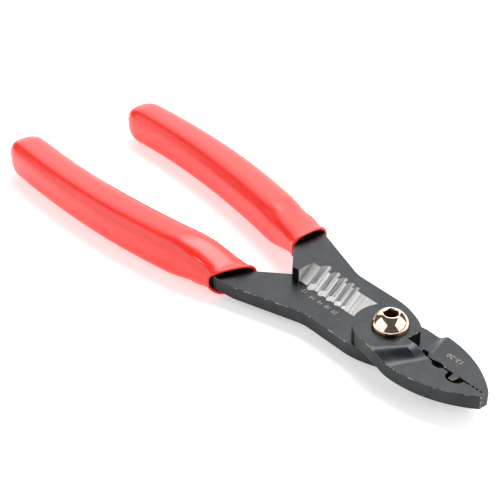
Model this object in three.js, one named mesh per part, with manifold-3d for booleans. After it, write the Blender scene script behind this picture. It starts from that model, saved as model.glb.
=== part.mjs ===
// A 209 mm wire stripper and terminal crimper: two joggled steel levers on one bolt, in dipped vinyl grips.
// Millimetres, +Z up. The origin is on the pivot axis, in the plane that the closed tool lies on.
// +X points to the jaw tips. The upper lever's jaw is on the -Y side and its handle on the +Y side.
import * as THREE from "three";
import { mergeVertices } from "three/addons/utils/BufferGeometryUtils.js";
import Module from "manifold-3d";

// Levers
const PLATE = 4.5; // thickness of each lever
const FACE_GAP = 0.05; // running gap between the two lever faces
const DISC_R = 11.15; // round of the lever about the pivot
const RELIEF_R = 9.07; // smaller round on the jaw side, which clears the other lever's joggle
const RELIEF_FROM = 34.2; // degrees from +X, where the relief round starts
const RELIEF_TO = 66;
const ROOT_X = 7.4; // front wall of the disc, behind the other jaw
const EDGE_Y = 11.1; // outer edge of the lever beside the disc
const EDGE_FROM = -8; // where that edge starts, and the corner of the curve that leads to it
const EDGE_CORNER = -2.6;
const KINK_X = -25; // where the outer edge turns out towards the handle
const KINK_SLOPE = 0.305;
const KINK_ROUND = 2;

// Jaws
const TIP_X = 36.6;
const JAW_GAP = 0.32; // each jaw's step back from the parting line, behind the teeth
const SHOULDER = [4.4, -11.75]; // corner between the disc's wall and the jaw's outer edge
const DISC_TO = 250; // degrees from +X, where the disc's round ends and a straight runs to that corner
const JAW_ARC_X = 11.5;
const JAW_ARC_R = 36.5;
const JAW_Y = -11.55;
const GROOVES = { count: 3, x: 35.1, pitch: 1.4, half: 0.42, depth: 0.5 }; // cross grooves at the tips
const GRIPPING_X = 31.2; // where the gripping faces at the tips end
const GRIPPING_GAP = 0.06; // play between those faces, on each jaw
const OVAL = { x: 19.3, rx: 1.9, upper: 1.15, lower: 0.6 }; // nest for insulated terminals: its two depths
const NEST = { x: 26.3, rx: 2.75, floor: -0.9, ry: 2.3 }; // nest for bare terminals
const INDENTER = { x: 25.95, base: 1.15, point: 0.85, length: 2.3 }; // half widths, and reach past the line
const ROOT_POCKET = [[14.4, 0], [13.3, -2], [12.2, -3.2], [10.2, -3.7], [9.9, -2.4]]; // lower jaw's clearance

// Joggles: [y, start of ramp, end of ramp] at some stations across each lever
const UPPER_JOGGLE = [[-20, -3.4, 7.6], [-3.2, 9.2, 15.2], [0, 9.6, 16.7], [2, 9.6, 16.7]];
const LOWER_JOGGLE = [[-20, 7, 10.6], [-4.5, 10.3, 15.1], [0, 11.3, 16.5], [2, 11.3, 16.5]];
const JOGGLE_STEPS = 8; // steps down each ramp
const JOGGLE_SPACING = 3; // millimetres between the stations of the mesh
const PAST_JOGGLE = 40; // the last station is repeated this far across

// Wire blades
const BLADE_LAP = 0.6; // each cutting edge's reach past the axis
const BLADE_X = -38.9; // heel of the blade
const BEVEL_TOP_Y = 4.8;
const EDGE_LAND = 0.12; // thickness left at the cutting edge
const NOTCH_ROD = 30; // length of the cutter for a notch
const NOTCHES = [
  { x: -33.8, r: 1.7 },
  { x: -29.3, r: 1.5 },
  { x: -25.7, r: 1.35 },
  { x: -22.4, r: 1.2 },
  { x: -19.7, r: 0.95 },
];

// Handles
const HEEL = [-41.3, -1.9]; // bump behind the blade
const HEEL_STEP = 0.7; // the blade's heel below its edge
const HANDLE_START = new THREE.Vector2(-51, 13.8); // the handle's middle line is a quadratic curve
const HANDLE_BEND = new THREE.Vector2(-104, 27.9);
const HANDLE_END = new THREE.Vector2(-157.4, 25);
const LOWER_LONGER = 5; // how much further back the lower handle ends
const GRIP_RISE = 0.2; // the grips' middle above the middle of the plates
const TANG_HALF = 5.6;
const TANG_STOP = 0.93; // share of the grip's path that the steel reaches
const NECK = 0.07; // share of the path, before its start, from where the grip is hollowed for the bar
const NECK_CORNER = [[-49, 5.2], [-50.9, 6.6], [-53.6, 8.9], [-49, 14]]; // room for the plate's inner corner
const SETTLE = 0.16; // share of the path over which the handle returns to mid height
const GRIP = { half: 7.4, height: 7.4, mouthHalf: 7.5, mouthHeight: 4.7, swell: 0.2, power: 3 };
const GRIP_FROM = -0.06; // share of the path where the sleeve starts, before its mouth is trimmed
const GRIP_STEPS = 20;
const GRIP_NOSE = 10; // length of the rounded end past the path
const NOSE_POWER = 2.26; // how blunt that end is: 2 is an ellipse
const NOSE_ANGLES = [25, 45, 62, 76, 86]; // where the rounded end has a ring, in degrees
const SLIP = 0.3; // gap between steel and vinyl
const MOUTH_RINGS = [
  { share: GRIP_FROM - 0.01, half: 6.7, height: 3.7 },
  { share: 0.02, half: 6.4, height: 3.4 },
  { share: 0.075, half: 3, height: 1 },
]; // hollow inside the grip's mouth, which closes on the steel
const MOUTH_POWER = 2.5;
const UPPER_MOUTH = [[-50.9, 7], [-50.6, 19.5]]; // each mouth's inner and outer ends in plan
const LOWER_MOUTH = [[-53, 7.4], [-56, 20]];

// Pivot hardware
const BOLT_R = 3.1;
const BOLT_CHAMFER = 0.4;
const BORE_R = 3.15;
const HEAD = { r: 5.67, chamfer: 0.25, band: 0.9, dome: 4.4, flatR: 2.6 };
const SOCKET = { flats: 4, depth: 2.8 };
const WASHER = { r: 6.4, thickness: 1 };
const SPOT_FACE = { r: 6.9, depth: 1.3 };
const NUT = { flats: 10, height: 3 };
const SEAT = 0.02; // gap between faces that are screwed together
const GRIP_CLEAR = 0.02; // grips start just above the resting plane

const LOWER_Z = NUT.height + WASHER.thickness - SPOT_FACE.depth + 2 * SEAT; // underside of the lower lever
const PARTING_Z = LOWER_Z + PLATE + FACE_GAP / 2; // mid plane between the levers
const HEAD_Z = PARTING_Z + FACE_GAP / 2 + PLATE + SEAT;
const GRIP_HALF_HEIGHT = Math.min(GRIP.height, PARTING_Z + GRIP_RISE - GRIP_CLEAR);
const PAST = 20; // how far a cutter runs past what it cuts

const wasm = await Module();
wasm.setup();

// Solid of a closed three.js geometry, for cutting and joining.
function solid(geometry) {
  const bare = geometry.clone();
  bare.deleteAttribute("normal");
  bare.deleteAttribute("uv");
  const merged = mergeVertices(bare, 1e-4);
  const triVerts = new Uint32Array(merged.index.array);
  const vertProperties = merged.attributes.position.array;
  const made = new wasm.Manifold(new wasm.Mesh({ numProp: 3, vertProperties, triVerts }));
  if (made.volume() > 0) return made;
  const turned = triVerts.map((_, i) => triVerts[i - (i % 3) + 2 - (i % 3)]);
  return new wasm.Manifold(new wasm.Mesh({ numProp: 3, vertProperties, triVerts: turned }));
}

function geometryOf(made) {
  const { vertProperties, triVerts } = made.getMesh();
  const geometry = new THREE.BufferGeometry();
  geometry.setAttribute("position", new THREE.BufferAttribute(vertProperties, 3));
  geometry.setIndex(new THREE.BufferAttribute(triVerts, 1));
  const faceted = geometry.toNonIndexed();
  faceted.computeVertexNormals();
  return faceted;
}

// An outline in plan, extruded from one height to another.
function prism(shape, low, high, curveSegments = 24) {
  const settings = { depth: high - low, bevelEnabled: false, curveSegments };
  return new THREE.ExtrudeGeometry(shape, settings).translate(0, 0, low);
}

function polygon(points) {
  return new THREE.Shape(points.map(([x, y]) => new THREE.Vector2(x, y)));
}

function upright(radius, low, high, sides = 48) {
  const geometry = new THREE.CylinderGeometry(radius, radius, high - low, sides);
  return geometry.rotateX(Math.PI / 2).translate(0, 0, (low + high) / 2);
}

// A closed solid through rings of equal length. The caps are filled in the plane of the two named axes.
function loft(rings, across, up) {
  const count = rings[0].length;
  const index = [];
  for (let i = 0; i < rings.length - 1; i += 1) {
    for (let j = 0; j < count; j += 1) {
      const here = i * count + j;
      const next = i * count + ((j + 1) % count);
      index.push(here, next, next + count, here, next + count, here + count);
    }
  }
  for (const [ring, start] of [[rings[0].toReversed(), 0], [rings.at(-1), (rings.length - 1) * count]]) {
    const outline = ring.map((p) => new THREE.Vector2(p[across], p[up]));
    const number = (i) => start + (start ? i : count - 1 - i);
    for (const face of THREE.ShapeUtils.triangulateShape(outline, [])) {
      const turned = THREE.ShapeUtils.area(outline) < 0 ? face.toReversed() : face;
      index.push(...turned.map(number));
    }
  }
  const geometry = new THREE.BufferGeometry();
  const positions = rings.flat().flatMap((p) => [p.x, p.y, p.z]);
  geometry.setAttribute("position", new THREE.Float32BufferAttribute(positions, 3));
  geometry.setIndex(index);
  return geometry.toNonIndexed();
}

// Each lever is drawn in its own frame: its sliding face is z = 0, its plate rises to z = PLATE, its handle
// is on the +Y side and its jaw on the -Y side. The lower lever is then turned over about X.

// Smooth step from 0 to 1.
const ease = (share) => THREE.MathUtils.smoothstep(share, 0, 1);

// The two handles. Each has its path in plan, and its rise in the lever's own frame.
const upperHandle = {
  curve: new THREE.QuadraticBezierCurve(HANDLE_START, HANDLE_BEND, HANDLE_END),
  rise: GRIP_RISE,
};
const lowerEnd = new THREE.Vector2(HANDLE_END.x - LOWER_LONGER, HANDLE_END.y);
const lowerHandle = {
  curve: new THREE.QuadraticBezierCurve(HANDLE_START, HANDLE_BEND, lowerEnd),
  rise: -GRIP_RISE,
};

// Centre, sideways direction and height of a handle at a share of its path.
// Before 0 and past 1 it runs on straight.
function handleAt({ curve, rise }, share) {
  const held = THREE.MathUtils.clamp(share, 0, 1);
  const along = curve.getTangent(held);
  const centre = curve.getPoint(held).addScaledVector(along, (share - held) * curve.getLength());
  const height = THREE.MathUtils.lerp(PLATE / 2, rise, ease(share / SETTLE));
  return { centre, side: new THREE.Vector2(along.y, -along.x), height };
}

// A ring about a handle's path: a superellipse, whose power sets how square it is.
function handleRing(handle, share, half, height, power, points = 32) {
  const at = handleAt(handle, share);
  return Array.from({ length: points }, (_, i) => {
    const angle = (i / points) * 2 * Math.PI;
    const round = (v) => Math.sign(v) * Math.abs(v) ** (2 / power);
    const out = half * round(Math.cos(angle));
    return new THREE.Vector3(
      at.centre.x + at.side.x * out,
      at.centre.y + at.side.y * out,
      at.height + height * round(Math.sin(angle)),
    );
  });
}

// The steel inside the grip: a flat bar that settles to mid height. extra widens it, for the grip's hollow.
function tang(handle, extra, start) {
  const stations = 18;
  const stop = TANG_STOP + extra / handle.curve.getLength();
  return loft(
    Array.from({ length: stations + 1 }, (_, i) => {
      const share = THREE.MathUtils.lerp(start, stop, i / stations);
      const at = handleAt(handle, share);
      const half = TANG_HALF + extra;
      const high = PLATE / 2 + extra;
      const corners = [[-half, -high], [half, -high], [half, high], [-half, high]];
      return corners.map(([out, z]) => {
        const [x, y] = [at.centre.x + at.side.x * out, at.centre.y + at.side.y * out];
        return new THREE.Vector3(x, y, at.height + z);
      });
    }),
    "y",
    "z",
  );
}

// The gripping face at a jaw's tip, with its cross grooves, drawn from the tip backwards.
function grippingFace(shape) {
  shape.lineTo(TIP_X, -GRIPPING_GAP);
  for (let i = 0; i < GROOVES.count; i += 1) {
    const x = GROOVES.x - i * GROOVES.pitch;
    shape.lineTo(x + GROOVES.half, -GRIPPING_GAP);
    shape.lineTo(x, -GROOVES.depth);
    shape.lineTo(x - GROOVES.half, -GRIPPING_GAP);
  }
  shape.lineTo(GRIPPING_X, -GRIPPING_GAP);
  shape.lineTo(GRIPPING_X, -JAW_GAP);
}

// Outline of a lever in plan. The two levers differ only along the parting line.
function leverShape(handle, partingLine) {
  const shape = new THREE.Shape();
  const heelAngle = Math.PI + Math.asin(BLADE_LAP / DISC_R);
  shape.moveTo(BLADE_X, -BLADE_LAP);
  shape.absarc(0, 0, DISC_R, heelAngle, THREE.MathUtils.degToRad(DISC_TO));
  shape.lineTo(...SHOULDER);
  const tipAngle = -Math.acos((TIP_X - JAW_ARC_X) / JAW_ARC_R);
  shape.absarc(JAW_ARC_X, JAW_Y + JAW_ARC_R, JAW_ARC_R, -Math.PI / 2, tipAngle);
  partingLine(shape);
  shape.lineTo(ROOT_X, -JAW_GAP);
  shape.absarc(0, 0, RELIEF_R, THREE.MathUtils.degToRad(RELIEF_FROM), THREE.MathUtils.degToRad(RELIEF_TO));
  shape.quadraticCurveTo(EDGE_CORNER, EDGE_Y, EDGE_FROM, EDGE_Y);
  shape.lineTo(KINK_X + KINK_ROUND, EDGE_Y);
  shape.quadraticCurveTo(KINK_X, EDGE_Y, KINK_X - KINK_ROUND, EDGE_Y + KINK_ROUND * KINK_SLOPE);
  const { centre, side } = handleAt(handle, 0);
  for (const out of [TANG_HALF, -TANG_HALF]) shape.lineTo(centre.x + side.x * out, centre.y + side.y * out);
  shape.lineTo(...HEEL);
  shape.lineTo(BLADE_X, -BLADE_LAP - HEEL_STEP);
  return shape;
}

// Upper jaw: an open nest for bare terminals and half of the oval nest.
function upperParting(shape) {
  grippingFace(shape);
  shape.lineTo(NEST.x + NEST.rx, -JAW_GAP);
  shape.absellipse(NEST.x, NEST.floor, NEST.rx, NEST.ry, 0, -Math.PI, true);
  shape.lineTo(NEST.x - NEST.rx, -JAW_GAP);
  shape.absellipse(OVAL.x, -JAW_GAP, OVAL.rx, OVAL.upper, 0, -Math.PI, true);
}

// Lower jaw, turned over: the tooth that indents the terminal, the oval's other half and a root pocket.
function lowerParting(shape) {
  grippingFace(shape);
  shape.lineTo(INDENTER.x + INDENTER.base, -JAW_GAP);
  shape.lineTo(INDENTER.x + INDENTER.point, INDENTER.length);
  shape.lineTo(INDENTER.x - INDENTER.point, INDENTER.length);
  shape.lineTo(INDENTER.x - INDENTER.base, -JAW_GAP);
  shape.absellipse(OVAL.x, -JAW_GAP, OVAL.rx, OVAL.lower, 0, -Math.PI, true);
  for (const [x, y] of ROOT_POCKET) shape.lineTo(x, y - JAW_GAP);
  shape.lineTo(ROOT_POCKET.at(-1)[0], -JAW_GAP);
}

// The band of metal between the lever's two faces: flat, then down by half a plate at the joggle, which is
// pressed with soft bends. Each station is [y, start, end], and the stations between are interpolated.
function joggledBand(stations) {
  const far = 60;
  const bends = Array.from({ length: JOGGLE_STEPS + 1 }, (_, i) => i / JOGGLE_STEPS);
  const rings = stations.map(([y, start, end]) => {
    const under = bends.map((t) => [THREE.MathUtils.lerp(start, end, t), (-PLATE / 2) * ease(t)]);
    const over = under.toReversed().map(([x, z]) => [x, z + PLATE]);
    const outline = [[-far, 0], ...under, [far, -PLATE / 2], [far, PLATE / 2], ...over, [-far, PLATE]];
    return outline.map(([x, z]) => new THREE.Vector3(x, y, z));
  });
  return loft(rings, "x", "z");
}

// Stations at a finer spacing, with a straight line between each pair of the given ones.
function spaced(stations) {
  const finer = stations.slice(1).flatMap((next, i) => {
    const last = stations[i];
    const count = Math.max(1, Math.round((next[0] - last[0]) / JOGGLE_SPACING));
    const shares = Array.from({ length: count }, (_, k) => k / count);
    return shares.map((share) => last.map((value, axis) => THREE.MathUtils.lerp(value, next[axis], share)));
  });
  return [...finer, stations.at(-1)];
}

// The ground bevel behind a cutting edge: a wedge that stops at the disc's wall.
function bevelCutter() {
  const slope = (PLATE - EDGE_LAND) / (BEVEL_TOP_Y + BLADE_LAP);
  const low = [-BLADE_LAP - 2, EDGE_LAND - 2 * slope];
  const high = [BEVEL_TOP_Y + 2, PLATE + 2 * slope];
  const wedge = prism(polygon([low, high, [low[0], high[1]]]), BLADE_X, 0);
  // The outline is drawn in (y, z) and extruded along x.
  wedge.applyMatrix4(new THREE.Matrix4().makeBasis(
    new THREE.Vector3(0, 1, 0),
    new THREE.Vector3(0, 0, 1),
    new THREE.Vector3(1, 0, 0),
  ));
  return solid(wedge).subtract(solid(upright(DISC_R, -PAST, PAST, 96)));
}

// A round groove down the bevel. Where it crosses the edge it leaves half of the hole that strips the wire.
function notchCutter({ x, r }) {
  const slope = Math.atan2(PLATE - EDGE_LAND, BEVEL_TOP_Y + BLADE_LAP);
  const rod = new THREE.CylinderGeometry(r, r, NOTCH_ROD, 20);
  return solid(rod.rotateX(slope).translate(x, -BLADE_LAP, EDGE_LAND));
}

function lever(handle, partingLine, joggle) {
  const plan = solid(prism(leverShape(handle, partingLine), -PAST, PAST));
  const [, start, end] = joggle.at(-1);
  let made = plan.intersect(solid(joggledBand([...spaced(joggle), [PAST_JOGGLE, start, end]])));
  made = made.add(solid(tang(handle, 0, 0)));
  made = made.subtract(bevelCutter());
  for (const notch of NOTCHES) made = made.subtract(notchCutter(notch));
  return made.subtract(solid(upright(BORE_R, -PAST, PAST)));
}

// A grip: a dipped sleeve with a round closed end, and a mouth that is cut straight between two points.
function grip(handle, [mouthFrom, mouthTo]) {
  const outer = [];
  const noseShare = GRIP_NOSE / handle.curve.getLength();
  for (let i = 0; i <= GRIP_STEPS; i += 1) {
    const share = THREE.MathUtils.lerp(GRIP_FROM, 1, i / GRIP_STEPS);
    const swell = ease(share / GRIP.swell);
    const half = THREE.MathUtils.lerp(GRIP.mouthHalf, GRIP.half, swell);
    const height = THREE.MathUtils.lerp(GRIP.mouthHeight, GRIP_HALF_HEIGHT, swell);
    outer.push(handleRing(handle, share, half, height, GRIP.power));
  }
  for (const angle of NOSE_ANGLES) {
    const out = Math.sin(THREE.MathUtils.degToRad(angle));
    const shrink = (1 - out ** NOSE_POWER) ** (1 / NOSE_POWER);
    const [half, height] = [GRIP.half * shrink, GRIP_HALF_HEIGHT * shrink];
    outer.push(handleRing(handle, 1 + out * noseShare, half, height, GRIP.power));
  }
  const hollow = MOUTH_RINGS.map((at) => handleRing(handle, at.share, at.half, at.height, MOUTH_POWER));
  const [dx, dy] = [mouthTo[0] - mouthFrom[0], mouthTo[1] - mouthFrom[1]];
  const reach = [mouthFrom[0] - dx, mouthFrom[1] - dy];
  const beyond = [mouthTo[0] + dx, mouthTo[1] + dy];
  const front = polygon([reach, beyond, [beyond[0] + PAST, beyond[1]], [reach[0] + PAST, reach[1]]]);
  return solid(loft(outer, "y", "z"))
    .subtract(solid(loft(hollow, "y", "z")))
    .subtract(solid(tang(handle, SLIP, -NECK)))
    .subtract(solid(prism(polygon(NECK_CORNER), -SLIP, PLATE + SLIP)))
    .subtract(solid(prism(front, -PAST, PAST)));
}

// Bolt with a domed head and a hexagon socket, standing on its threaded end.
function bolt() {
  const sphereR = (HEAD.r ** 2 + HEAD.dome ** 2) / (2 * HEAD.dome);
  const centreZ = HEAD_Z + HEAD.band + HEAD.dome - sphereR;
  const shank = [[0, 0], [BOLT_R - BOLT_CHAMFER, 0], [BOLT_R, BOLT_CHAMFER], [BOLT_R, HEAD_Z]];
  const profile = [...shank, [HEAD.r - HEAD.chamfer, HEAD_Z]].map(([r, z]) => new THREE.Vector2(r, z));
  const rings = 8;
  for (let i = 0; i <= rings; i += 1) {
    const r = THREE.MathUtils.lerp(HEAD.r, HEAD.flatR, i / rings);
    profile.push(new THREE.Vector2(r, centreZ + Math.sqrt(sphereR ** 2 - r ** 2)));
  }
  const top = profile.at(-1).y;
  profile.push(new THREE.Vector2(0, top));
  const body = solid(new THREE.LatheGeometry(profile, 48).rotateX(Math.PI / 2));
  return body.subtract(solid(prism(hexagon(SOCKET.flats), top - SOCKET.depth, top + 1)));
}

function hexagon(flats) {
  const r = flats / Math.sqrt(3);
  const corner = (i) => [r * Math.cos((i * Math.PI) / 3), r * Math.sin((i * Math.PI) / 3)];
  return polygon(Array.from({ length: 6 }, (_, i) => corner(i)));
}

const blackOxide = new THREE.MeshStandardMaterial({ color: 0x3b3d40, metalness: 0.7, roughness: 0.35 });
const redVinyl = new THREE.MeshStandardMaterial({ color: 0xe8231c, metalness: 0, roughness: 0.42 });
const copperPlate = new THREE.MeshStandardMaterial({ color: 0xd9a27e, metalness: 1, roughness: 0.12 });
const zincPlate = new THREE.MeshStandardMaterial({ color: 0xb9bcc0, metalness: 1, roughness: 0.3 });

function piece(name, made, material) {
  const mesh = new THREE.Mesh(geometryOf(made), material);
  mesh.name = name;
  return mesh;
}

const spotFace = solid(upright(SPOT_FACE.r, PLATE - SPOT_FACE.depth, PLATE + 1));

// The upper half stands on the parting plane. The lower half hangs from it, turned over about X.
const upperHalf = new THREE.Group();
upperHalf.position.z = PARTING_Z + FACE_GAP / 2;
upperHalf.add(piece("upper_lever", lever(upperHandle, upperParting, UPPER_JOGGLE), blackOxide));
upperHalf.add(piece("upper_grip", grip(upperHandle, UPPER_MOUTH), redVinyl));

const lowerHalf = new THREE.Group();
lowerHalf.position.z = PARTING_Z - FACE_GAP / 2;
lowerHalf.rotation.x = Math.PI;
const lowerBlank = lever(lowerHandle, lowerParting, LOWER_JOGGLE);
lowerHalf.add(piece("lower_lever", lowerBlank.subtract(spotFace), blackOxide));
lowerHalf.add(piece("lower_grip", grip(lowerHandle, LOWER_MOUTH), redVinyl));

const bore = solid(upright(BORE_R, -PAST, PAST));
const washerZ = NUT.height + SEAT;
const washer = solid(upright(WASHER.r, washerZ, washerZ + WASHER.thickness)).subtract(bore);
const nut = solid(prism(hexagon(NUT.flats), 0, NUT.height)).subtract(bore);

const stripper = new THREE.Group();
stripper.add(upperHalf, lowerHalf);
stripper.add(piece("pivot_bolt", bolt(), copperPlate));
stripper.add(piece("pivot_washer", washer, zincPlate));
stripper.add(piece("pivot_nut", nut, zincPlate));

export default stripper;
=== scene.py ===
"""A wire stripper and terminal crimper: two black steel levers on one bolt, their handles dipped in red
vinyl. Metres, +Z up. +X points to the jaw tips, and the origin is on the pivot axis, in the plane that the
tool lies on."""
from math import pi, radians

import bmesh
import bpy
import numpy as np
from mathutils import Matrix, Vector


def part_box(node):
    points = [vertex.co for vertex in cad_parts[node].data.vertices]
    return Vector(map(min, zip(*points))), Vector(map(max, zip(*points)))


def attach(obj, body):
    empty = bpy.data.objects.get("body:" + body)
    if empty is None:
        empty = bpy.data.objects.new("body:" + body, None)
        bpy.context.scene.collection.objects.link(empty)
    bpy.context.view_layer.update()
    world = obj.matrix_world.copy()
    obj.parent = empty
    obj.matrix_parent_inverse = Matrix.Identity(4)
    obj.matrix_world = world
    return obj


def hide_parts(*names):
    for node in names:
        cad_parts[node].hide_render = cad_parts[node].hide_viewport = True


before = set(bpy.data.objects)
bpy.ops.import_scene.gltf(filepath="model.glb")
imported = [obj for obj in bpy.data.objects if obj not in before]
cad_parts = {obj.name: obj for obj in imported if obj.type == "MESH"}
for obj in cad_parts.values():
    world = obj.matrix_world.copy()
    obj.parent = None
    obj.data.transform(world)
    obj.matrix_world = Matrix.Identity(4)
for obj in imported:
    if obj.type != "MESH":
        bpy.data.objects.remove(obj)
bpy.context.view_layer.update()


# ---- Levers ----
# Two plates stamped from 4.5 mm tool steel, joggled at the pivot so that the jaws meet level. They are heat
# treated, tumbled to break the edges, blackened in a hot oxide bath, and only then ground to an edge behind
# the pivot.

MM = 0.001
PLATE = 4.5 * MM
BLADE_HEEL_X = -38.95 * MM
BLADE_TOP_Y = 4.85 * MM
BLADE_LAP = 0.65 * MM
DISC_R = 11.15 * MM
EDGE_BREAK = 0.16 * MM  # width of the tumbled edge
SMOOTH_BEND = radians(24)  # bends gentler than this are shaded smooth
SHARP_EDGE = radians(35)  # edges sharper than this are broken by tumbling
TEETH_X, TEETH_REACH = 30.5 * MM, 0.8 * MM  # the fine teeth, from where and how far from the parting line
UNTUMBLED_X = (BLADE_HEEL_X - 3 * MM, -6 * MM)  # the blade's edges, which tumbling left alone
UNTUMBLED_Y = 9 * MM
GROUND_X = (BLADE_HEEL_X, -DISC_R * 0.8)
GROUND_Y = (-BLADE_LAP * 1.2, BLADE_TOP_Y * 1.6)
GROUND_HEIGHT = (0.06 * MM, PLATE - 0.02 * MM)  # above the sliding face and below the back of the bevel
GROUND_R = DISC_R + 0.01 * MM  # outside the disc's own wall
LEVEL = 0.999  # a face whose normal is more upright than this is level
MERGED = 0.002 * MM  # points nearer than this are one point
lower_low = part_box("lower_lever")[0]
upper_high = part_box("upper_lever")[1]
PARTING_Z = (lower_low.z + upper_high.z) / 2  # mid plane between the levers


def linear(hex_colour):
    """An sRGB colour such as "#c0392b" as linear RGBA."""
    value = np.array([int(hex_colour[i:i + 2], 16) for i in (1, 3, 5)]) / 255
    value = np.where(value <= 0.04045, value / 12.92, ((value + 0.055) / 1.055) ** 2.4)
    return (*value.tolist(), 1.0)


def add(material, kind, inputs=None, stops=None, **settings):
    """Adds a node. inputs gives each socket, by name or number, a value or the output socket that feeds it.
    stops gives a colour ramp its (position, sRGB hex) pairs."""
    tree = material.node_tree
    node = tree.nodes.new(kind)
    for key, value in settings.items():
        setattr(node, key, value)
    for key, value in (inputs or {}).items():
        if isinstance(value, bpy.types.NodeSocket):
            tree.links.new(value, node.inputs[key])
        else:
            node.inputs[key].default_value = value
    for i, (position, colour) in enumerate(stops or []):
        elements = node.color_ramp.elements
        element = elements[i] if i < 2 else elements.new(position)
        element.position, element.color = position, linear(colour)
    return node


def finish_named(name):
    """A new material with no nodes, and the coordinates that its patterns use, in metres on the piece."""
    material = bpy.data.materials.new(name)
    material.use_nodes = True
    material.node_tree.nodes.clear()
    return material, add(material, "ShaderNodeTexCoord").outputs["Object"]


def shaded(material, inputs):
    """Gives a material its one shader and its output."""
    shader = add(material, "ShaderNodeBsdfPrincipled", inputs)
    add(material, "ShaderNodeOutputMaterial", {"Surface": shader.outputs["BSDF"]})
    return material


GRAINY = {"Detail": 4, "Roughness": 0.6}  # noise with fine grain in it
MIDDLE = {"From Min": 0.3, "From Max": 0.7}  # where most of a noise's values lie


def black_oxide():
    """Hot black oxide on tumbled tool steel: a thin, oiled, semi-gloss film that mirrors softly."""
    material, place = finish_named("black_oxide_tumbled")
    mottle = add(material, "ShaderNodeTexNoise", {"Vector": place, "Scale": 1 / (6 * MM), **GRAINY})
    tint = add(material, "ShaderNodeValToRGB", {"Fac": mottle.outputs["Fac"]},
               [(0.3, "#333537"), (0.7, "#3b3d3f")])
    oil = add(material, "ShaderNodeTexNoise", {"Vector": place, "Scale": 1 / (2.5 * MM), **GRAINY})
    gloss = add(material, "ShaderNodeMapRange", {"Value": oil.outputs["Fac"], **MIDDLE,
                                                 "To Min": 0.26, "To Max": 0.36})
    fine = add(material, "ShaderNodeTexNoise", {"Vector": place, "Scale": 1 / (0.25 * MM),
                                                **GRAINY, "Detail": 2})
    peened = add(material, "ShaderNodeBump", {"Height": fine.outputs["Fac"], "Distance": 0.006 * MM})
    return shaded(material, {"Metallic": 1, "Base Color": tint.outputs["Color"],
                             "Roughness": gloss.outputs["Result"], "Normal": peened.outputs["Normal"]})


def worn_edge():
    """The tumbled edge, where handling rubs the oxide through to bright steel in dashes."""
    material, place = finish_named("black_oxide_worn_edge")
    rubbed = add(material, "ShaderNodeTexNoise", {"Vector": place, "Scale": 1 / (1.6 * MM),
                                                  **GRAINY, "Detail": 3})
    tint = add(material, "ShaderNodeValToRGB", {"Fac": rubbed.outputs["Fac"]},
               [(0.5, "#434445"), (0.6, "#a39782")])
    return shaded(material, {"Metallic": 0.85, "Roughness": 0.3, "Base Color": tint.outputs["Color"]})


def ground_steel():
    """Bright tool steel from a coarse wheel that ran down the bevel. The lines are drawn about 0.3 mm apart,
    coarser than real grinding, so that they show."""
    material, place = finish_named("ground_tool_steel")
    drawn_out = add(material, "ShaderNodeMapping", {"Vector": place, "Scale": (1, 0.03, 0.03)})
    lines = add(material, "ShaderNodeTexNoise", {"Vector": drawn_out.outputs["Vector"],
                                                 "Scale": 1 / (0.36 * MM), **GRAINY, "Detail": 3})
    tint = add(material, "ShaderNodeValToRGB", {"Fac": lines.outputs["Fac"]},
               [(0.3, "#aba8a6"), (0.7, "#e6e6e6"), (0.5, "#cfcecd")])
    gloss = add(material, "ShaderNodeMapRange", {"Value": lines.outputs["Fac"], **MIDDLE,
                                                 "To Min": 0.5, "To Max": 0.38})
    scored = add(material, "ShaderNodeBump", {"Height": lines.outputs["Fac"], "Distance": 0.014 * MM})
    return shaded(material, {"Metallic": 1, "Base Color": tint.outputs["Color"],
                             "Roughness": gloss.outputs["Result"], "Normal": scored.outputs["Normal"]})


def on_blade(centres, normals, radii, turned):
    """Which faces the grinding wheel made. turned is -1 for the lever that is turned over."""
    x, y = centres[:, 0], centres[:, 1] * turned
    height = (centres[:, 2] - PARTING_Z) * turned
    inside = (x > GROUND_X[0]) & (x < GROUND_X[1]) & (y > GROUND_Y[0]) & (y < GROUND_Y[1])
    inside &= (height > GROUND_HEIGHT[0]) & (height < GROUND_HEIGHT[1])
    return inside & (radii > GROUND_R) & (np.abs(normals[:, 2]) < LEVEL)


def is_tumbled(edge):
    """Whether the tumbling broke this edge: a sharp one, away from the ground blade and the fine teeth."""
    if len(edge.link_faces) != 2 or edge.calc_face_angle() < SHARP_EDGE:
        return False
    middle = (edge.verts[0].co + edge.verts[1].co) / 2
    on_blade_side = UNTUMBLED_X[0] < middle.x < UNTUMBLED_X[1] and abs(middle.y) < UNTUMBLED_Y
    on_teeth = middle.x > TEETH_X and abs(middle.y) < TEETH_REACH
    return not on_blade_side and not on_teeth


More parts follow.
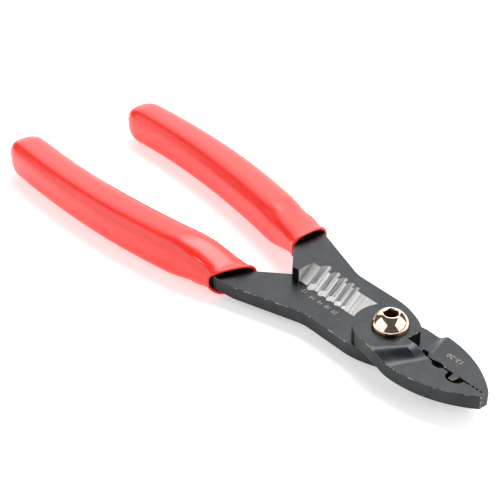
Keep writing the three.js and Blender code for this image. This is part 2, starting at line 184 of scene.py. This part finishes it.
def softened(node, name, turned, finishes):
    """A copy of a lever with its triangles joined into whole faces, the ground faces marked, and every outer
    edge broken by a narrow round."""
    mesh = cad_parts[node].data.copy()
    mesh.name = name
    work = bmesh.new()
    work.from_mesh(mesh)
    bmesh.ops.remove_doubles(work, verts=work.verts, dist=MERGED)
    bmesh.ops.dissolve_degenerate(work, edges=work.edges, dist=MERGED)
    bmesh.ops.dissolve_limit(work, angle_limit=radians(0.5), verts=work.verts, edges=work.edges)
    weight = work.edges.layers.float.new("bevel_weight_edge")
    for edge in work.edges:
        edge[weight] = float(is_tumbled(edge))
    work.to_mesh(mesh)
    work.free()
    mesh.materials.clear()
    for finish in finishes:
        mesh.materials.append(finish)
    count = len(mesh.polygons)
    centres = np.zeros(count * 3)
    normals = np.zeros(count * 3)
    mesh.polygons.foreach_get("center", centres)
    mesh.polygons.foreach_get("normal", normals)
    centres = centres.reshape(-1, 3)
    radii = np.hypot(centres[:, 0], centres[:, 1])
    ground = on_blade(centres, normals.reshape(-1, 3), radii, turned)
    mesh.polygons.foreach_set("material_index", np.where(ground, 2, 0).astype(np.int32))
    piece = bpy.data.objects.new(name, mesh)
    bpy.context.scene.collection.objects.link(piece)
    mesh.shade_smooth()
    mesh.set_sharp_from_angle(angle=SMOOTH_BEND)
    round_edges = piece.modifiers.new("tumbled_edges", "BEVEL")
    round_edges.limit_method = "WEIGHT"
    round_edges.width = EDGE_BREAK
    round_edges.segments = 2
    round_edges.material = 1
    round_edges.use_clamp_overlap = False
    flat_faces = piece.modifiers.new("flat_faces", "WEIGHTED_NORMAL")
    flat_faces.keep_sharp = True
    return piece


tumbled, rubbed_edge, ground = black_oxide(), worn_edge(), ground_steel()
for node, body, turned in [("lower_lever", "lower_half", -1), ("upper_lever", "upper_half", 1)]:
    lever = softened(node, node + "_plate", turned, [tumbled, rubbed_edge, ground])
    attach(lever, body)
    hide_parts(node)


# ---- Grips ----
# Each handle is dipped in hot vinyl, which leaves a soft seamless sleeve about 1.3 mm thick at its mouth. The
# mouth hugs the plate's corners and arches over its flats, and the plate's corners show through as faint
# ridges behind it.

PATH = np.array([[-51, 13.8], [-104, 27.9], [-157.4, 25]]) * MM  # the handle's middle line, a quadratic curve
LOWER_LONGER = 5 * MM  # how much further back the lower handle ends
RISE = 0.2 * MM  # the grips' middle above the middle of the plates
SETTLE = 0.16  # share of the path over which the handle comes to that height
GRIP_NOSE, NOSE_POWER = 10 * MM, 2.26
ROUND_COLUMNS = 128
NECK_HALF, NECK_HEIGHT = 6.95 * MM, 4.45 * MM
BODY_HALF, BODY_BELLY, BODY_HEIGHT = 7.17 * MM, 0.34 * MM, 7.38 * MM
SQUARE, NOSE_SQUARE = 3.05, 2.7  # powers of the body's superellipse, and of the nose's at its pole
NECK_LENGTH = 23 * MM
LIP_R = 0.45 * MM
LIP_FLARE = 0.32 * MM
FLARE_LENGTH = 1.3 * MM
RIDGE = 0.36 * MM  # how far the plate's outer corners show through behind the mouth
RIDGE_AT, RIDGE_LENGTH = 7.5 * MM, 3.5 * MM  # how far behind the mouth the ridge is highest, and its length
RIDGE_RISE = 2 * MM
RIDGE_CORNER, RIDGE_WIDTH = 0.72, 0.055  # sine of the ring's angle at the plate's corner, and the width
BELLY_AT, BELLY_LENGTH = 0.45, 0.25  # shares of the path
HOLLOW_DEPTH = 9 * MM
HOLLOW_IN, HOLLOW_DOWN = 0.6 * MM, 2 * MM  # how much the hollow closes in sideways and in height
LAST_TURN = 0.985  # share of the quarter turn at the nose's last ring, just short of the pole


def smooth(share):
    """Smooth step from 0 to 1."""
    held = np.clip(share, 0, 1)
    return held * held * (3 - 2 * held)


def path_at(path, share):
    """Points and sideways directions of a quadratic curve. Before its start it runs on straight, and past its
    end too, by shares of its length."""
    knots, length = path
    held = np.clip(share, 0, 1)[..., None]
    point = (1 - held) ** 2 * knots[0] + 2 * held * (1 - held) * knots[1] + held ** 2 * knots[2]
    along = (1 - held) * (knots[1] - knots[0]) + held * (knots[2] - knots[1])
    along /= np.linalg.norm(along, axis=-1, keepdims=True)
    point = point + along * (share[..., None] - held) * length
    return point, np.stack([along[..., 1], -along[..., 0]], axis=-1)


def measured(knots):
    """A path with its length, summed over short chords."""
    points, _ = path_at((knots, 0), np.linspace(0, 1, 400))
    return knots, np.linalg.norm(np.diff(points, axis=0), axis=1).sum()


def sections(path, rise, share, half, height, power, angle):
    """Points of a superellipse ring about the path: half times cos to the power 2/power sideways, and height
    times sin to the power 2/power upwards. The ring's middle comes from the plate's middle to rise."""
    round_off = lambda value: np.sign(value) * np.abs(value) ** (2 / power)
    point, side = path_at(path, share)
    plan = point + side * (half * round_off(np.cos(angle)))[..., None]
    lift = PLATE / 2 + (rise - PLATE / 2) * smooth(share / SETTLE) + height * round_off(np.sin(angle))
    return np.concatenate([plan, lift[..., None]], axis=-1)


def mouth_share(path, mouth, half, angle, power):
    """The share of the path at which each column meets the mouth's line in plan, by Newton steps."""
    start, end = np.array(mouth) * MM
    across = np.array([end[1] - start[1], start[0] - end[0]])
    across /= np.linalg.norm(across)
    share = np.zeros_like(angle)
    out = half * np.sign(np.cos(angle)) * np.abs(np.cos(angle)) ** (2 / power)
    for _ in range(8):
        point, side = path_at(path, share)
        miss = (point + side * out[:, None] - start) @ across
        along = np.stack([-side[:, 1], side[:, 0]], axis=-1) @ across
        share = share - miss / (along * path[1])
    return share


def shell(name, rows, finish, sharp=40, wrap=False):
    """A closed mesh through rows of points. Neighbouring rows are joined by quads. The first and last rows
    close on their middles, or on each other when wrap is true. Faces are turned to point outwards by the sign
    of the volume."""
    count, columns = rows.shape[:2]
    points = rows.reshape(-1, 3)
    here = np.arange(count * columns).reshape(count, columns)
    last = count if wrap else count - 1
    near, far = here[:last], np.roll(here, -1, axis=0)[:last]
    quads = np.stack([near, np.roll(near, -1, axis=1), np.roll(far, -1, axis=1), far], axis=-1).reshape(-1, 4)
    faces = quads.tolist()
    if not wrap:
        ends = np.array([rows[0].mean(axis=0), rows[-1].mean(axis=0)])
        points = np.vstack([points, ends])
        first, final = count * columns, count * columns + 1
        faces += np.stack([np.roll(here[0], -1), here[0], np.full(columns, first)], axis=-1).tolist()
        faces += np.stack([here[-1], np.roll(here[-1], -1), np.full(columns, final)], axis=-1).tolist()
    a, b, c, d = (points[quads[:, i]] for i in range(4))
    volume = np.einsum("ij,ij->i", a, np.cross(b, c) + np.cross(c, d)).sum()
    if volume < 0:
        faces = [face[::-1] for face in faces]
    mesh = bpy.data.meshes.new(name)
    mesh.from_pydata(points, [], faces)
    mesh.materials.append(finish)
    mesh.shade_smooth()
    mesh.set_sharp_from_angle(angle=radians(sharp))
    piece = bpy.data.objects.new(name, mesh)
    bpy.context.scene.collection.objects.link(piece)
    return piece


def sleeve_rows(path, rise, mouth, dip):
    """Rings of one sleeve, from the pole of its nose to a pole hidden inside the steel. The nose shrinks by a
    power curve. The body narrows and flattens to the mouth by a smooth step, and bell curves add the lip's
    flare, the belly and the ridges over the plate's corners. Then come half a circle round the lip, and the
    hollow behind it. dip is how far the lip is drawn back at the middle of the handle's outer side."""
    angle = np.linspace(0, 2 * pi, ROUND_COLUMNS, endpoint=False)
    length = path[1]
    ring = lambda share, half, height, power: sections(
        path, rise, share * np.ones_like(angle), half, height, power, angle)
    start = mouth_share(path, mouth, NECK_HALF, angle, SQUARE)
    start = start + dip / length * np.clip(np.cos(angle), 0, 1) ** 4
    rows = []
    for turn in np.linspace(pi / 2 * LAST_TURN, 0, 18, endpoint=False):
        out = np.sin(turn)
        shrink = (1 - out ** NOSE_POWER) ** (1 / NOSE_POWER)
        power = SQUARE - (SQUARE - NOSE_SQUARE) * out ** 2
        rows.append(ring(1 + out * GRIP_NOSE / length, BODY_HALF * shrink, BODY_HEIGHT * shrink, power))
    for step in np.linspace(1, 0, 110) ** 1.5:
        share = start + (1 - start) * step
        behind = step * length
        swell = smooth(behind / NECK_LENGTH)
        flare = LIP_FLARE * np.exp(-(behind / FLARE_LENGTH) ** 2)
        ridge = RIDGE * np.exp(-((behind - RIDGE_AT) / RIDGE_LENGTH) ** 2) * smooth(behind / RIDGE_RISE)
        corner = np.exp(-((np.abs(np.sin(angle)) - RIDGE_CORNER) / RIDGE_WIDTH) ** 2) * (np.cos(angle) > 0)
        belly = BODY_BELLY * np.exp(-((share - BELLY_AT) / BELLY_LENGTH) ** 2) * swell
        half = NECK_HALF + (BODY_HALF + belly - NECK_HALF) * swell + flare + ridge * corner
        height = NECK_HEIGHT + (BODY_HEIGHT - NECK_HEIGHT) * swell + flare + ridge * corner
        rows.append(ring(share, half, height, SQUARE))
    edge_half, edge_height = NECK_HALF + LIP_FLARE, NECK_HEIGHT + LIP_FLARE
    for turn in np.linspace(pi / 8, pi, 8):
        inset = LIP_R * (1 - np.cos(turn))
        share = start - np.sin(turn) * LIP_R / length
        rows.append(ring(share, edge_half - inset, edge_height - inset, SQUARE))
    for step in np.linspace(0.1, 1, 8):
        close = smooth(step)
        rows.append(ring(start + step * HOLLOW_DEPTH / length, edge_half - 2 * LIP_R - HOLLOW_IN * close,
                         edge_height - 2 * LIP_R - HOLLOW_DOWN * close, SQUARE + 2 * close))
    return np.array(rows)


def dipped_vinyl():
    """Dipped PVC, cured in the oven: saturated red and semi-gloss, with a faint slow waviness."""
    material, place = finish_named("dipped_pvc_vinyl")
    shade = add(material, "ShaderNodeTexNoise", {"Vector": place, "Scale": 1 / (14 * MM), **GRAINY})
    tint = add(material, "ShaderNodeValToRGB", {"Fac": shade.outputs["Fac"]},
               [(0.3, "#e2281f"), (0.7, "#ea2e25")])
    bloom = add(material, "ShaderNodeTexNoise", {"Vector": place, "Scale": 1 / (9 * MM),
                                                 **GRAINY, "Detail": 1})
    gloss = add(material, "ShaderNodeMapRange", {"Value": bloom.outputs["Fac"], **MIDDLE,
                                                 "To Min": 0.25, "To Max": 0.29})
    waves = add(material, "ShaderNodeTexNoise", {"Vector": place, "Scale": 1 / (6 * MM),
                                                 **GRAINY, "Detail": 0})
    sagged = add(material, "ShaderNodeBump", {"Height": waves.outputs["Fac"], "Distance": 0.003 * MM})
    return shaded(material, {"Metallic": 0, "IOR": 1.53, "Base Color": tint.outputs["Color"],
                             "Roughness": gloss.outputs["Result"], "Normal": sagged.outputs["Normal"]})


vinyl = dipped_vinyl()
HALF_TURN = np.array([1, -1, -1])
for name, body, mouth, dip, longer, turned in [
    ("lower", "lower_half", [[-53, 7.4], [-56, 20]], 1.6 * MM, LOWER_LONGER, True),
    ("upper", "upper_half", [[-50.9, 7], [-50.6, 19.5]], 0.0, 0.0, False),
]:
    path = measured(PATH - np.array([[0, 0], [0, 0], [longer, 0]]))
    rows = sleeve_rows(path, -RISE if turned else RISE, mouth, dip)
    rows = rows * HALF_TURN if turned else rows
    grip = shell(name + "_vinyl_sleeve", rows + [0, 0, PARTING_Z], vinyl)
    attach(grip, body)
    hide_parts(name + "_grip")


# ---- Pivot bolt ----
# A round-head socket screw, turned and polished and flashed with copper over nickel. Its hexagon socket is
# broached in from a small flat with a chamfer round it. The plating did not reach the bottom, and the deep
# part of the socket is also painted darker as painted shade, for the shade that falls into the recess.

HEAD_R, HEAD_FLAT_R = 5.67 * MM, 2.6 * MM
HEAD_BAND, HEAD_DOME = 0.9 * MM, 4.4 * MM
SHANK_R = 3.1 * MM
SOCKET_FLATS, SOCKET_DEPTH = 4 * MM, 2.8 * MM
RIM_ROUND = 0.22 * MM
HAIR = 0.02 * MM  # a step too small to see
HEAD_Z = upper_high.z + HAIR  # the head's underside, just clear of the upper lever
SHANK_CHAMFER = 0.4 * MM
SOCKET_LEAD, SOCKET_LIP = 0.3 * MM, 0.8 * MM  # depths of the chamfer into the socket, and of its plated lip
DARK_BELOW_DEPTH = 0.6 * MM  # below this depth the socket is bare steel, painted darker still as painted shade in the recess
DRILL_R, DRILL_DEPTH = 0.3 * MM, 0.4 * MM
END_R = 0.4 * MM  # the innermost ring of the shank's end
FLAT_WIDTH, EASE_WIDTH, EASE_DEPTH = 0.12 * MM, 0.2 * MM, 0.03 * MM  # the flat round the socket, and its edge


def hexagon_radius(flats, angle):
    """Distance from a hexagon's middle to its side: half the flats over the cosine from the nearest flat."""
    return flats / 2 / np.cos((angle + pi / 6) % (pi / 3) - pi / 6)


def turned_rows(profile, angle):
    """A profile of (radius, height) pairs carried round the pivot axis. A radius may vary with the angle."""
    rows = []
    for radius, height in profile:
        level = height * np.ones_like(angle)
        rows.append(np.stack([radius * np.cos(angle), radius * np.sin(angle), level], axis=-1))
    return np.array(rows)


def bolt_profile(angle):
    """The shank's chamfered end, the shank, the underside and rounded band of the head, the dome as an arc of
    one sphere, the chamfer into the socket, and the socket's walls and drilled cone."""
    sphere_r = (HEAD_R ** 2 + HEAD_DOME ** 2) / (2 * HEAD_DOME)
    middle = HEAD_Z + HEAD_BAND + HEAD_DOME - sphere_r
    socket = hexagon_radius(SOCKET_FLATS, angle)
    profile = [(END_R, 0), (SHANK_R - SHANK_CHAMFER, 0), (SHANK_R, SHANK_CHAMFER), (SHANK_R, HEAD_Z)]
    for turn in np.linspace(-pi / 2, 0, 6):
        profile.append((HEAD_R - RIM_ROUND * (1 - np.cos(turn)), HEAD_Z + RIM_ROUND * (1 + np.sin(turn))))
    for radius in np.linspace(HEAD_R - HAIR, HEAD_FLAT_R, 26):
        profile.append((radius, middle + np.sqrt(sphere_r ** 2 - radius ** 2)))
    top = profile[-1][1]
    profile += [(HEAD_FLAT_R - FLAT_WIDTH, top), (HEAD_FLAT_R - EASE_WIDTH, top - EASE_DEPTH)]
    profile += [(socket + HAIR, top - SOCKET_LEAD), (socket, top - SOCKET_LEAD - 2 * HAIR)]
    profile += [(socket, top - SOCKET_LIP), (socket, top - SOCKET_DEPTH)]
    profile += [(DRILL_R, top - SOCKET_DEPTH - DRILL_DEPTH)]
    return profile


def polished_copper():
    """Bright copper flash over nickel, polished to a mirror, with a little haze and faint buffing marks."""
    material, place = finish_named("polished_copper_flash")
    flash = add(material, "ShaderNodeTexNoise", {"Vector": place, "Scale": 1 / (3 * MM), **GRAINY})
    tint = add(material, "ShaderNodeValToRGB", {"Fac": flash.outputs["Fac"]},
               [(0.3, "#dcc0a9"), (0.7, "#ecd3bf")])
    haze = add(material, "ShaderNodeTexNoise", {"Vector": place, "Scale": 1 / (0.8 * MM), **GRAINY})
    gloss = add(material, "ShaderNodeMapRange", {"Value": haze.outputs["Fac"], **MIDDLE,
                                                 "To Min": 0.06, "To Max": 0.14})
    flattened = add(material, "ShaderNodeMapping", {"Vector": place, "Scale": (1, 1, 4)})
    marks = add(material, "ShaderNodeTexNoise", {"Vector": flattened.outputs["Vector"],
                                                 "Scale": 1 / (0.35 * MM), **GRAINY, "Detail": 2})
    buffed = add(material, "ShaderNodeBump", {"Height": marks.outputs["Fac"], "Distance": 0.0015 * MM})
    return shaded(material, {"Metallic": 1, "Base Color": tint.outputs["Color"],
                             "Roughness": gloss.outputs["Result"], "Normal": buffed.outputs["Normal"]})


def broached_steel_with_painted_shade():
    """Bare broached steel in the socket: brown with oil and rough, painted darker as painted shade in the deep
    recess.
    """
    material, place = finish_named("broached_steel_painted_shade")
    oil = add(material, "ShaderNodeTexNoise", {"Vector": place, "Scale": 1 / (0.5 * MM), **GRAINY})
    tint = add(material, "ShaderNodeValToRGB", {"Fac": oil.outputs["Fac"]},
               [(0.3, "#3a2418"), (0.7, "#5a3b2a")])
    return shaded(material, {"Metallic": 0.6, "Roughness": 0.5, "Base Color": tint.outputs["Color"]})


around = np.linspace(0, 2 * pi, 144, endpoint=False)
bolt = shell("round_head_bolt", turned_rows(bolt_profile(around), around), polished_copper(), sharp=28)
bolt.data.materials.append(broached_steel_with_painted_shade())
middles = np.zeros(len(bolt.data.polygons) * 3)
bolt.data.polygons.foreach_get("center", middles)
middles = middles.reshape(-1, 3)
# Faces deep in the socket get the dark material: partly unplated steel, partly painted shade in the recess.
unplated_and_shaded = (np.hypot(middles[:, 0], middles[:, 1]) < HEAD_FLAT_R) & (middles[:, 2] > HEAD_Z)
unplated_and_shaded &= middles[:, 2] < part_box("pivot_bolt")[1].z - DARK_BELOW_DEPTH
bolt.data.polygons.foreach_set("material_index", unplated_and_shaded.astype(np.int32))
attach(bolt, "lower_half")
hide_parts("pivot_bolt")


# ---- Washer and nut ----
# A plain washer in the lower lever's spot face, and a thin hexagon nut under it. Both are zinc plated. The
# nut's corners are cut back by a 30 degree chamfer on each face.

BORE_R = 3.15 * MM
WASHER_R = 6.4 * MM
washer_low, washer_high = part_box("pivot_washer")
nut_low, nut_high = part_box("pivot_nut")
NUT_FLATS = 10 * MM


def zinc_plate():
    """Clear-passivated zinc on steel: pale satin grey with fine mottling."""
    material, place = finish_named("clear_zinc_plate")
    bloom = add(material, "ShaderNodeTexNoise", {"Vector": place, "Scale": 1 / (1.5 * MM), **GRAINY})
    tint = add(material, "ShaderNodeValToRGB", {"Fac": bloom.outputs["Fac"]},
               [(0.3, "#a9adb2"), (0.7, "#c3c6c9")])
    satin = add(material, "ShaderNodeTexNoise", {"Vector": place, "Scale": 1 / (0.7 * MM), **GRAINY})
    gloss = add(material, "ShaderNodeMapRange", {"Value": satin.outputs["Fac"], **MIDDLE,
                                                 "To Min": 0.25, "To Max": 0.42})
    fine = add(material, "ShaderNodeTexNoise", {"Vector": place, "Scale": 1 / (0.2 * MM), **GRAINY})
    grown = add(material, "ShaderNodeBump", {"Height": fine.outputs["Fac"], "Distance": 0.004 * MM})
    return shaded(material, {"Metallic": 1, "Base Color": tint.outputs["Color"],
                             "Roughness": gloss.outputs["Result"], "Normal": grown.outputs["Normal"]})


def washer_profile():
    """A flat ring whose stamped edges are rounded."""
    low, high, edge = washer_low.z, washer_high.z, 0.15 * MM
    outer = [(WASHER_R - edge, low), (WASHER_R, low + edge), (WASHER_R, high - edge), (WASHER_R - edge, high)]
    return [(BORE_R, low), *outer, (BORE_R, high)]


def nut_profile(angle):
    """A hexagon ring. On each face a cone from a circle inside the flats cuts the corners at 30 degrees."""
    side = hexagon_radius(NUT_FLATS, angle)
    face_r = NUT_FLATS / 2 * 0.97
    drop = (side - face_r) * np.tan(radians(30))
    low, high, lead = nut_low.z, nut_high.z, 0.35 * MM
    outer = [(face_r, low), (side, low + drop), (side, high - drop), (face_r, high)]
    return [(BORE_R, low + lead), (BORE_R + lead, low), *outer, (BORE_R + lead, high), (BORE_R, high - lead)]


zinc = zinc_plate()
washer = shell("plain_washer", turned_rows(washer_profile(), around), zinc, sharp=30, wrap=True)
nut = shell("thin_hex_nut", turned_rows(nut_profile(around), around), zinc, sharp=20, wrap=True)
for piece, node in [(washer, "pivot_washer"), (nut, "pivot_nut")]:
    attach(piece, "lower_half")
    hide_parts(node)


# ---- Gauge numbers ----
# Plain wire gauge numbers, marked by laser through the oxide of the lower lever: one beside each notch, and
# the range of the crimping jaw on its top.

NUMBER_HEIGHT = 1.55 * MM
MARK_RAISE = 0.012 * MM


def laser_mark():
    """Laser-annealed lettering: pale, dry, straw-coloured oxide."""
    material, place = finish_named("laser_mark")
    burnt = add(material, "ShaderNodeTexNoise", {"Vector": place, "Scale": 1 / (0.4 * MM), **GRAINY})
    tint = add(material, "ShaderNodeValToRGB", {"Fac": burnt.outputs["Fac"]},
               [(0.35, "#77726a"), (0.65, "#9d9788")])
    return shaded(material, {"Metallic": 0.3, "Roughness": 0.55, "Base Color": tint.outputs["Color"]})


marked = laser_mark()


def number(text, x, y, z, height, name):
    """A thin raised number that reads along -X, with its top towards -Y."""
    curve = bpy.data.curves.new(name, "FONT")
    curve.body = text
    curve.size = height / 0.7  # the capitals are 0.7 of the font's size
    curve.align_x, curve.align_y = "CENTER", "CENTER"
    curve.extrude = MARK_RAISE
    curve.resolution_u = 3
    made = bpy.data.objects.new(name, curve)
    bpy.context.scene.collection.objects.link(made)
    bpy.context.view_layer.update()
    mesh = bpy.data.meshes.new_from_object(made)
    bpy.data.objects.remove(made)
    mesh.transform(Matrix.Translation((x, y, z)) @ Matrix.Rotation(pi, 4, "Z"))
    mesh.materials.clear()
    mesh.materials.append(marked)
    piece = bpy.data.objects.new(name, mesh)
    bpy.context.scene.collection.objects.link(piece)
    return piece


plate_top = lower_low.z + PLATE
jaw_top = plate_top + PLATE / 2
for text, x, y in [("12", -33.6, -3.3), ("14", -29.4, -3.8), ("16", -26.1, -3.7), ("18", -22.8, -3.5),
                   ("20", -19.6, -3.7)]:
    mark = number(text, x * MM, y * MM, plate_top, NUMBER_HEIGHT, "gauge_" + text)
    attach(mark, "lower_half")
jaw_range = number("12-20", 20.9 * MM, 5.4 * MM, jaw_top, 1.75 * MM, "jaw_range")
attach(jaw_range, "lower_half")


# ---- Floor, light and camera ----
# A plain pale floor, broad soft lights overhead and behind, and a view through a long lens from the jaws' side.

LENS = 83.2
CAMERA_PLACE = Vector((183.8, -202.1, 215.3)) * MM
CAMERA_AIM = Vector((-0.6490, 0.5278, -0.5479))
CAMERA_ROLL = radians(-0.23)


def plain_floor():
    """A light table: matt white acrylic, lit from below a little so that shadows stay faint."""
    material, place = finish_named("backlit_white_acrylic")
    cloud = add(material, "ShaderNodeTexNoise", {"Vector": place, "Scale": 1 / (40 * MM), **GRAINY})
    tint = add(material, "ShaderNodeValToRGB", {"Fac": cloud.outputs["Fac"]},
               [(0.3, "#f4f4f4"), (0.7, "#f8f8f8")])
    return shaded(material, {"Roughness": 0.9, "Emission Color": (1, 1, 1, 1), "Emission Strength": 0.4,
                             "Base Color": tint.outputs["Color"]})


FLOOR_HALF = 3.0
floor_mesh = bpy.data.meshes.new("floor")
corners = [(-FLOOR_HALF, -FLOOR_HALF, 0), (FLOOR_HALF, -FLOOR_HALF, 0), (FLOOR_HALF, FLOOR_HALF, 0),
           (-FLOOR_HALF, FLOOR_HALF, 0)]
floor_mesh.from_pydata(corners, [], [(0, 1, 2, 3)])
floor_mesh.materials.append(plain_floor())
floor = bpy.data.objects.new("floor", floor_mesh)
bpy.context.scene.collection.objects.link(floor)


def soft_light(name, place, aim, size, power):
    """A rectangular soft box at place, facing aim."""
    light = bpy.data.lights.new(name, "AREA")
    light.shape = "RECTANGLE"
    light.size, light.size_y = size
    light.energy = power
    holder = bpy.data.objects.new(name, light)
    holder.location = place
    holder.rotation_euler = (Vector(aim) - Vector(place)).to_track_quat("-Z", "Y").to_euler()
    bpy.context.scene.collection.objects.link(holder)


soft_light("back_panel", (-0.9, 0.75, 0.6), (0, 0, 0), (1.8, 1.2), 12.6)
soft_light("overhead_panel", (-0.22, 0.5, 0.95), (0, 0, 0), (0.9, 0.4), 9.5)
soft_light("left_panel", (-0.38, -0.9, 0.5), (0, 0, 0), (1.5, 1.0), 9.0)
soft_light("right_panel", (0.76, 0.58, 0.55), (0, 0, 0), (1.5, 1.0), 9.0)

world = bpy.data.worlds.new("studio")
world.use_nodes = True
world.node_tree.nodes["Background"].inputs["Color"].default_value = (1, 1, 1, 1)
world.node_tree.nodes["Background"].inputs["Strength"].default_value = 0.12
bpy.context.scene.world = world
bpy.context.scene.view_settings.view_transform = "Standard"

camera_data = bpy.data.cameras.new("camera")
camera_data.lens = LENS
camera_data.sensor_width = 36
camera_data.clip_start = 0.01
camera = bpy.data.objects.new("camera", camera_data)
camera.location = CAMERA_PLACE
facing = CAMERA_AIM.to_track_quat("-Z", "Y").to_matrix() @ Matrix.Rotation(CAMERA_ROLL, 3, "Z")
camera.rotation_euler = facing.to_euler()
bpy.context.scene.collection.objects.link(camera)
bpy.context.scene.camera = camera
